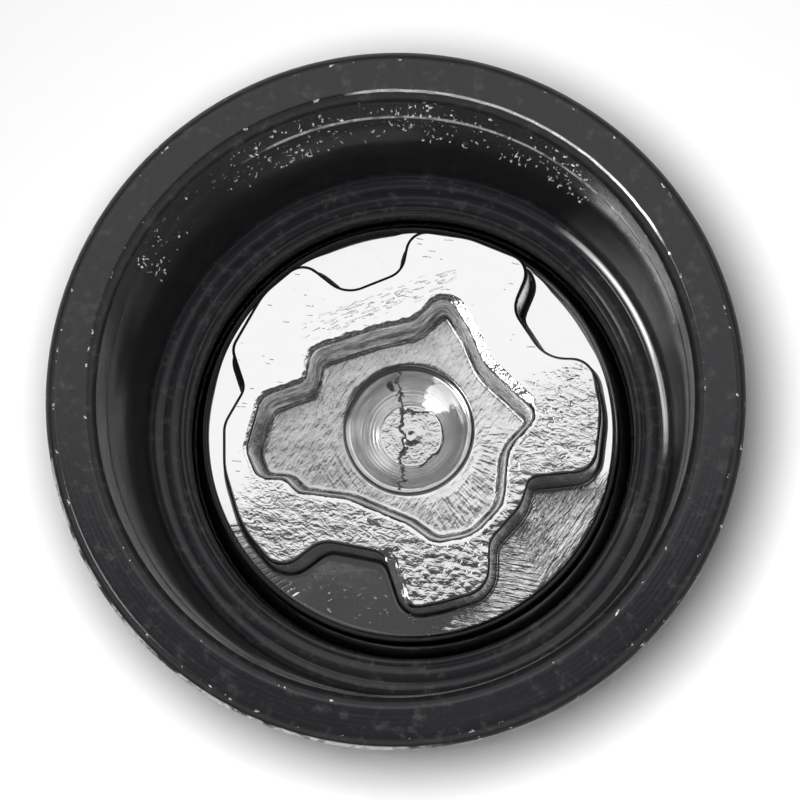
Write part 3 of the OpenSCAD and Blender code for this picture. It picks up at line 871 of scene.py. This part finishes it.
def wire(tree, kind, inputs=None, **settings):
    """New node with its settings, and each input linked from a socket or set to a value."""
    made = tree.nodes.new(kind)
    for key, value in settings.items():
        setattr(made, key, value)
    for key, value in (inputs or {}).items():
        if isinstance(value, bpy.types.NodeSocket):
            tree.links.new(value, made.inputs[key])
        else:
            made.inputs[key].default_value = value
    return made


def product(tree, one, other):
    return wire(tree, "ShaderNodeMath", {0: one, 1: other}, operation="MULTIPLY").outputs[0]


def swept(tree, curve, section):
    """Section swept along the curve, with its ends filled."""
    return wire(tree, "GeometryNodeCurveToMesh",
                {"Curve": curve, "Profile Curve": section, "Fill Caps": True}).outputs[0]


def raised(tree, geometry, height):
    """Geometry lifted by the height."""
    lift = wire(tree, "ShaderNodeCombineXYZ", {"Z": height}).outputs[0]
    return wire(tree, "GeometryNodeTransform", {"Geometry": geometry, "Translation": lift}).outputs[0]


def finish_tree(tree, geometry, group_in, group_out):
    """Ends a tree in Realize Instances and Set Material."""
    real = wire(tree, "GeometryNodeRealizeInstances", {"Geometry": geometry})
    painted = wire(tree, "GeometryNodeSetMaterial",
                   {"Geometry": real.outputs[0], "Material": group_in.outputs["Material"]})
    tree.links.new(painted.outputs[0], group_out.inputs[0])


def baked(name, mesh, tree, values, sharp=SOFT_EDGE):
    """Plain mesh that the tree makes from mesh, with each named input set by its identifier."""
    carrier = linked(name + "_carrier", mesh)
    modifier = carrier.modifiers.new("tree", "NODES")
    modifier.node_group = tree
    for item in tree.interface.items_tree:
        if item.in_out == "INPUT" and item.name in values:
            modifier[item.identifier] = values[item.name]
    graph = bpy.context.evaluated_depsgraph_get()
    made = bpy.data.meshes.new_from_object(carrier.evaluated_get(graph))
    made.name = name
    bpy.data.objects.remove(carrier)
    tidy_normals(made, sharp)
    return made


def lathe_tree():
    """Turns a profile in the XZ plane round the Z axis."""
    tree, start, end = new_tree(
        "lathe",
        ("Segments", "NodeSocketInt", 384),
        ("Material", "NodeSocketMaterial", None),
    )
    profile = wire(tree, "GeometryNodeMeshToCurve", {"Mesh": start.outputs["Geometry"]})
    laid = wire(tree, "GeometryNodeTransform",
                {"Geometry": profile.outputs[0], "Rotation": (np.pi / 2, 0, 0)})
    circle = wire(tree, "GeometryNodeCurvePrimitiveCircle",
                  {"Resolution": start.outputs["Segments"], "Radius": LATHE_CORE})
    turned = wire(tree, "GeometryNodeCurveToMesh",
                  {"Curve": circle.outputs[0], "Profile Curve": laid.outputs[0]})
    finish_tree(tree, turned.outputs[0], start, end)
    return tree


def profile_mesh(name, points, flat=False):
    """Closed polyline in millimetres as a mesh of edges: upright and set in for the lathe, or flat."""
    mesh = bpy.data.meshes.new(name)
    edges = [(i, (i + 1) % len(points)) for i in range(len(points))]
    if flat:
        places = [(x * MM, y * MM, 0) for x, y in points]
    else:
        places = [(r * MM - LATHE_CORE, 0, z * MM) for r, z in points]
    mesh.from_pydata(places, edges, [])
    return mesh


def collar_profile(sizes):
    """Section of the collar, anticlockwise, with fine turning steps in its rim and lip."""
    top, lip_z, low = RIM_Z, RIM_Z - sizes.mouth_depth, RIM_Z - sizes.mouth_depth - sizes.lip_t
    outer, mouth_r, lip_r, bore_r = COLLAR_R, sizes.mouth_r, sizes.lip_r, sizes.bore_r
    wide = mouth_r + sizes.relief_w
    bevel, skirt, fillet = sizes.rim_chamfer, sizes.skirt_chamfer, sizes.shelf_fillet
    face_in = wide + bevel
    ledge = top - sizes.relief_h
    groove_top, groove_low = RING_Z + sizes.groove_h / 2, RING_Z - sizes.groove_h / 2
    points = [
        (bore_r + 0.3, SKIRT_Z), (outer - skirt - 0.04, SKIRT_Z), (outer - skirt + 0.04, SKIRT_Z + 0.04),
        (outer - 0.03, SKIRT_Z + skirt - 0.05), (outer, SKIRT_Z + skirt + 0.06),
        (outer, top - bevel - 0.06), (outer - 0.03, top - bevel + 0.02),
        (outer - bevel + 0.03, top - 0.05), (outer - bevel - 0.05, top - 0.01),
    ]
    steps, start, end = 22, outer - bevel - 0.06, face_in + 0.05
    for k in range(1, steps):
        wave = 1 + np.sin(2.3 * k) * np.cos(0.7 * k)
        points.append((start - (start - end) * k / steps, top - 0.003 * wave))
    points += [
        (face_in + 0.03, top - 0.004), (face_in - 0.03, top - 0.04), (wide + 0.03, top - bevel + 0.04),
        (wide, top - bevel - 0.05), (wide, ledge + 0.03), (wide - 0.02, ledge - 0.03),
        (mouth_r, ledge - sizes.relief_w - 0.03), (mouth_r, lip_z + 6), (mouth_r, lip_z + fillet),
    ]
    for a in quarter(9)[1:]:
        points.append((mouth_r - fillet * (1 - np.cos(a)), lip_z + fillet * (1 - np.sin(a))))
    half, floor, deep = sizes.shelf_groove_w / 2, sizes.shelf_groove_w / 5, sizes.shelf_groove_d
    for r in sizes.shelf_grooves:
        points += [(r + half, lip_z), (r + floor, lip_z - deep), (r - floor, lip_z - deep), (r - half, lip_z)]
    points += [
        (lip_r + 0.07, lip_z - 0.01), (lip_r + 0.01, lip_z - 0.07), (lip_r, lip_z - 0.12),
        (lip_r, low + 0.1), (lip_r + 0.1, low), (bore_r - 0.05, low), (bore_r, low - 0.05),
        (bore_r, groove_top), (bore_r + sizes.groove_w, groove_top),
        (bore_r + sizes.groove_w, groove_low), (bore_r, groove_low), (bore_r, SKIRT_Z + 0.3),
    ]
    return points


class NUT_OT_spinning_collar(bpy.types.Operator):
    """Turn the black collar from its section"""

    bl_idname = "wheel_nut.spinning_collar"
    bl_label = "Spinning collar"

    def execute(self, context):
        sizes, finishes = context.scene.collar_sizes, context.scene.nut_finishes
        coating = black_coating(finishes, sizes)
        section = profile_mesh("collar_section", collar_profile(sizes))
        values = {"Segments": sizes.segments, "Material": coating}
        mesh = baked("collar_dressed", section, lathe_tree(), values)
        add_piece("spinning_collar_dressed", mesh, (coating,), COLLAR, "black_steel", "spinning_collar")
        return {"FINISHED"}


def thread_tree():
    """Ridge of an internal thread as a section swept along a spiral."""
    tree, start, end = new_tree(
        "thread",
        ("Turns", "NodeSocketFloat", 10.0),
        ("Pitch", "NodeSocketFloat", 0.0015),
        ("Radius", "NodeSocketFloat", 0.006),
        ("Foot", "NodeSocketFloat", 0.0),
        ("Material", "NodeSocketMaterial", None),
    )
    ask = start.outputs
    spiral = wire(tree, "GeometryNodeCurveSpiral",
                  {"Resolution": 72, "Rotations": ask["Turns"], "Start Radius": ask["Radius"],
                   "End Radius": ask["Radius"], "Height": product(tree, ask["Turns"], ask["Pitch"])})
    upright = wire(tree, "GeometryNodeSetCurveNormal", {"Curve": spiral.outputs[0]}, mode="Z_UP")
    section = wire(tree, "GeometryNodeMeshToCurve", {"Mesh": ask["Geometry"]})
    ridge = swept(tree, upright.outputs[0], section.outputs[0])
    finish_tree(tree, raised(tree, ridge, ask["Foot"]), start, end)
    return tree


class NUT_OT_thread(bpy.types.Operator):
    """Wind the internal thread of the nut"""

    bl_idname = "wheel_nut.thread"
    bl_label = "Thread"

    def execute(self, context):
        sizes = context.scene.nut_sizes
        steel = bpy.data.materials["plated_steel"]  # the frame's own satin steel
        deep, root, crest = sizes.thread_r - sizes.minor_r, sizes.pitch * 0.43, sizes.pitch * 0.125
        sunk = 0.03
        corners = [(-sunk, -root), (-deep, -crest), (-deep, crest),
                   (-sunk, root), (sunk, root), (sunk, -root)]
        section = profile_mesh("thread_section", corners, flat=True)
        values = {"Turns": (sizes.drill_z - sizes.thread_runout) / sizes.pitch, "Pitch": sizes.pitch * MM,
                  "Radius": sizes.thread_r * MM, "Foot": sizes.thread_foot * MM, "Material": steel}
        mesh = baked("nut_thread", section, thread_tree(), values, sharp=30)
        add_piece("nut_thread", mesh, (steel,), NUT, "plated_steel")
        return {"FINISHED"}


def wire_ring_tree():
    """Split ring bent from round wire."""
    tree, start, end = new_tree(
        "wire_ring",
        ("Radius", "NodeSocketFloat", 0.0098),
        ("Wire radius", "NodeSocketFloat", 0.0006),
        ("Opening", "NodeSocketFloat", 0.314),
        ("Height", "NodeSocketFloat", 0.013),
        ("Material", "NodeSocketMaterial", None),
    )
    ask = start.outputs
    sweep = wire(tree, "ShaderNodeMath", {0: 2 * np.pi, 1: ask["Opening"]}, operation="SUBTRACT")
    arc = wire(tree, "GeometryNodeCurveArc",
               {"Resolution": 128, "Radius": ask["Radius"], "Start Angle": product(tree, ask["Opening"], 0.5),
                "Sweep Angle": sweep.outputs[0]}, mode="RADIUS")
    section = wire(tree, "GeometryNodeCurvePrimitiveCircle", {"Resolution": 24, "Radius": ask["Wire radius"]})
    ring = swept(tree, arc.outputs[0], section.outputs[0])
    finish_tree(tree, raised(tree, ring, ask["Height"]), start, end)
    return tree


class NUT_OT_retaining_ring(bpy.types.Operator):
    """Bend the wire ring that holds the collar"""

    bl_idname = "wheel_nut.retaining_ring"
    bl_label = "Retaining ring"

    def execute(self, context):
        sizes = context.scene.nut_sizes
        steel = spring_steel(context.scene.nut_finishes)
        values = {"Radius": (RING_R - WIRE_R) * MM, "Wire radius": WIRE_R * WIRE_SHARE * MM,
                  "Opening": sizes.ring_opening, "Height": RING_Z * MM, "Material": steel}
        mesh = baked("retaining_ring_dressed", bpy.data.meshes.new("empty"), wire_ring_tree(), values)
        add_piece("retaining_ring_dressed", mesh, (steel,), NUT, "spring_steel", "retaining_ring")
        return {"FINISHED"}


def chips_tree():
    """Small flakes scattered over the faces that come in."""
    tree, start, end = new_tree(
        "chips",
        ("Density", "NodeSocketFloat", 1e6),
        ("Seed", "NodeSocketInt", 5),
        ("Size", "NodeSocketFloat", 0.00005),
        ("Material", "NodeSocketMaterial", None),
    )
    ask = start.outputs
    clumps = wire(tree, "ShaderNodeTexNoise", {"Scale": 420.0, "Detail": 3.0})
    thick = wire(tree, "ShaderNodeMapRange", {"Value": clumps.outputs[0], "From Min": 0.45, "From Max": 0.7})
    spread = wire(tree, "GeometryNodeDistributePointsOnFaces",
                  {"Mesh": ask["Geometry"], "Density": product(tree, thick.outputs[0], ask["Density"]),
                   "Seed": ask["Seed"]})
    flake = wire(tree, "GeometryNodeMeshIcoSphere", {"Radius": ask["Size"], "Subdivisions": 1}).outputs[0]
    arc = wire(tree, "GeometryNodeCurveArc", mode="RADIUS",
               inputs={"Resolution": 9, "Radius": product(tree, ask["Size"], 1.9), "Sweep Angle": 1.7})
    section = wire(tree, "GeometryNodeCurvePrimitiveCircle",
                   {"Resolution": 5, "Radius": product(tree, ask["Size"], 0.32)})
    curl = swept(tree, arc.outputs[0], section.outputs[0])
    kinds = wire(tree, "GeometryNodeGeometryToInstance")
    for shape in (curl, flake, flake, flake, flake):  # one curl to four flakes
        tree.links.new(shape, kinds.inputs[0])
    pick = wire(tree, "FunctionNodeRandomValue", {4: 0, 5: 4, "Seed": ask["Seed"]}, data_type="INT")
    turn = wire(tree, "FunctionNodeRandomValue",
                {"Min": (0, 0, 0), "Max": (6.28, 6.28, 6.28), "Seed": ask["Seed"]}, data_type="FLOAT_VECTOR")
    stretch = wire(tree, "FunctionNodeRandomValue",
                   {"Min": (0.25, 0.25, 0.2), "Max": (2.2, 1.1, 0.8), "Seed": ask["Seed"]},
                   data_type="FLOAT_VECTOR")
    placed = wire(tree, "GeometryNodeInstanceOnPoints",
                  {"Points": spread.outputs[0], "Instance": kinds.outputs[0], "Pick Instance": True,
                   "Instance Index": pick.outputs[2], "Rotation": turn.outputs[0],
                   "Scale": stretch.outputs[0]})
    finish_tree(tree, placed.outputs[0], start, end)
    return tree


class NUT_OT_chips(bpy.types.Operator):
    """Scatter metal flakes over the upper wall of the mouth"""

    bl_idname = "wheel_nut.chips"
    bl_label = "Chips"

    def execute(self, context):
        sizes, flakes = context.scene.collar_sizes, context.scene.nut_flakes
        metal = bright_chip()
        count = 60
        turns = np.linspace(*flakes.sector, count)
        upper, lower = flakes.depths
        points = []
        for depth, wall_r in ((upper, sizes.mouth_r + sizes.relief_w), (lower, sizes.mouth_r)):
            r = wall_r - flakes.lift
            points += [(r * np.cos(a) * MM, r * np.sin(a) * MM, (RIM_Z - depth) * MM) for a in turns]
        patch = bpy.data.meshes.new("chip_patch")
        patch.from_pydata(points, [], [(i, i + 1, i + count + 1, i + count) for i in range(count - 1)])
        values = {"Density": flakes.density, "Seed": flakes.seed, "Size": flakes.size, "Material": metal}
        mesh = baked("wall_chips", patch, chips_tree(), values, sharp=None)
        add_piece("wall_chips", mesh, (metal,), COLLAR, "black_steel")
        return {"FINISHED"}


class NUT_OT_stage(bpy.types.Operator):
    """Set the camera, the pale floor and the soft light"""

    bl_idname = "wheel_nut.stage"
    bl_label = "Stage"

    def execute(self, context):
        settings = context.scene.nut_stage
        self.set_camera(settings)
        self.lay_floor(settings)
        self.hang_lights(settings)
        self.paint_world(context.scene, settings)
        context.scene.view_settings.view_transform = "Standard"
        return {"FINISHED"}

    def set_camera(self, settings):
        data = bpy.data.cameras.new("camera")
        data.lens, data.sensor_width = settings.lens, 36.0
        data.clip_start, data.clip_end = 0.002, 20.0
        camera = linked("camera", data)
        lift = Vector((0, 0, RIM_Z * MM))
        eye, aim = Vector(settings.eye) + lift, Vector(settings.aim) + lift
        forward = (aim - eye).normalized()
        right = forward.cross(Vector((0, 1, 0))).normalized()
        turn = Matrix((right, right.cross(forward), -forward)).transposed().to_4x4()
        camera.matrix_world = Matrix.Translation(eye) @ turn
        bpy.context.scene.camera = camera

    def lay_floor(self, settings):
        half = settings.floor_size / 2
        corners = [(-half, -half, 0), (half, -half, 0), (half, half, 0), (-half, half, 0)]
        mesh = bpy.data.meshes.new("floor")
        mesh.from_pydata(corners, [], [(0, 1, 2, 3)])
        paint = bpy.data.materials.new("floor_paint")
        paint.use_nodes = True
        surface = paint.node_tree.nodes["Principled BSDF"]
        looks = {"Base Color": (0.85, 0.85, 0.85, 1), "Roughness": 0.9, "Specular IOR Level": 0.1,
                 "Emission Color": (1, 1, 1, 1), "Emission Strength": settings.floor_glow}
        for key, value in looks.items():
            surface.inputs[key].default_value = value
        mesh.materials.append(paint)
        linked("floor", mesh)

    def hang_lights(self, settings):
        """A large panel and a small lamp that only the shiny faces mirror, and a key light for the rest."""
        rim, eye = RIM_Z * MM, settings.eye
        width, depth = settings.panel_size
        x, y, above = settings.panel_place
        panel = self.add_light("panel", "RECTANGLE", width, depth, (x, y, rim + eye[2] + above))
        panel.data.energy = settings.panel_glow * np.pi * width * depth
        panel.visible_diffuse = False

        turn, rise, away = settings.lamp_turn, settings.lamp_rise, settings.lamp_away
        target = Vector((0, 0, settings.lamp_aim))
        way = Vector((np.cos(turn) * np.cos(rise), np.sin(turn) * np.cos(rise), np.sin(rise)))
        size = settings.lamp_size
        lamp = self.add_light("lamp", "RECTANGLE", size, size, target + away * way, target)
        lamp.data.energy = settings.lamp_glow * np.pi * size ** 2
        lamp.visible_diffuse = False

        share, (shift_x, shift_y) = settings.key_share, settings.key_shift
        place = (eye[0] * share + shift_x, eye[1] * share + shift_y, rim + eye[2] * share)
        key = self.add_light("key", "DISK", settings.key_size, settings.key_size, place)
        key.data.energy = settings.key_power
        key.visible_glossy = False

    def add_light(self, name, shape, width, depth, place, target=None):
        """Area light that faces its target, or straight down."""
        data = bpy.data.lights.new(name, "AREA")
        data.shape, data.size, data.size_y = shape, width, depth
        light = linked(name, data)
        light.matrix_world = Matrix.Translation(place)
        if target is not None:
            way = target - Vector(place)
            light.matrix_world = light.matrix_world @ way.to_track_quat("-Z", "Y").to_matrix().to_4x4()
        light.visible_camera = False
        return light

    def paint_world(self, scene, settings):
        """Surroundings that only the shiny faces mirror, bright near the horizon and dark overhead."""
        world = bpy.data.worlds.new("studio")
        scene.world = world
        world.use_nodes = True
        tree = world.node_tree
        background = tree.nodes["Background"]
        way = tree.nodes.new("ShaderNodeTexCoord")
        split = tree.nodes.new("ShaderNodeSeparateXYZ")
        ramp = tree.nodes.new("ShaderNodeValToRGB")
        tree.links.new(way.outputs["Generated"], split.inputs[0])
        tree.links.new(split.outputs[2], ramp.inputs[0])
        tree.links.new(ramp.outputs[0], background.inputs[0])
        for element, position, grey in zip(ramp.color_ramp.elements, (0.05, 0.8), settings.sky):
            element.position, element.color = position, (grey, grey, grey, 1)
        background.inputs["Strength"].default_value = 1.0
        world.cycles_visibility.diffuse = False


class NUT_PT_panel(bpy.types.Panel):
    """Steps that dress the wheel nut"""

    bl_label = "Wheel nut"
    bl_idname = "NUT_PT_panel"
    bl_space_type = "VIEW_3D"
    bl_region_type = "UI"
    bl_category = "Wheel nut"

    def draw(self, context):
        for step in STEPS:
            self.layout.operator(step.bl_idname)


STEPS = (
    NUT_OT_stage, NUT_OT_nut_body, NUT_OT_thread, NUT_OT_spinning_collar, NUT_OT_retaining_ring, NUT_OT_chips,
)
GROUPS = (
    ("nut_sizes", NutSizes), ("collar_sizes", CollarSizes), ("nut_flakes", Flakes),
    ("nut_finishes", Finishes), ("nut_stage", StageSettings),
)


def register():
    for _, group in GROUPS:
        bpy.utils.register_class(group)
    for name, group in GROUPS:
        setattr(bpy.types.Scene, name, PointerProperty(type=group))
    for step in STEPS:
        bpy.utils.register_class(step)
    bpy.utils.register_class(NUT_PT_panel)


def unregister():
    bpy.utils.unregister_class(NUT_PT_panel)
    for step in reversed(STEPS):
        bpy.utils.unregister_class(step)
    for name, group in reversed(GROUPS):
        delattr(bpy.types.Scene, name)
        bpy.utils.unregister_class(group)


def main():
    register()
    bpy.ops.wheel_nut.stage()
    bpy.ops.wheel_nut.nut_body()
    bpy.ops.wheel_nut.thread()
    bpy.ops.wheel_nut.spinning_collar()
    bpy.ops.wheel_nut.retaining_ring()
    bpy.ops.wheel_nut.chips()


if __name__ == "__main__":
    main()
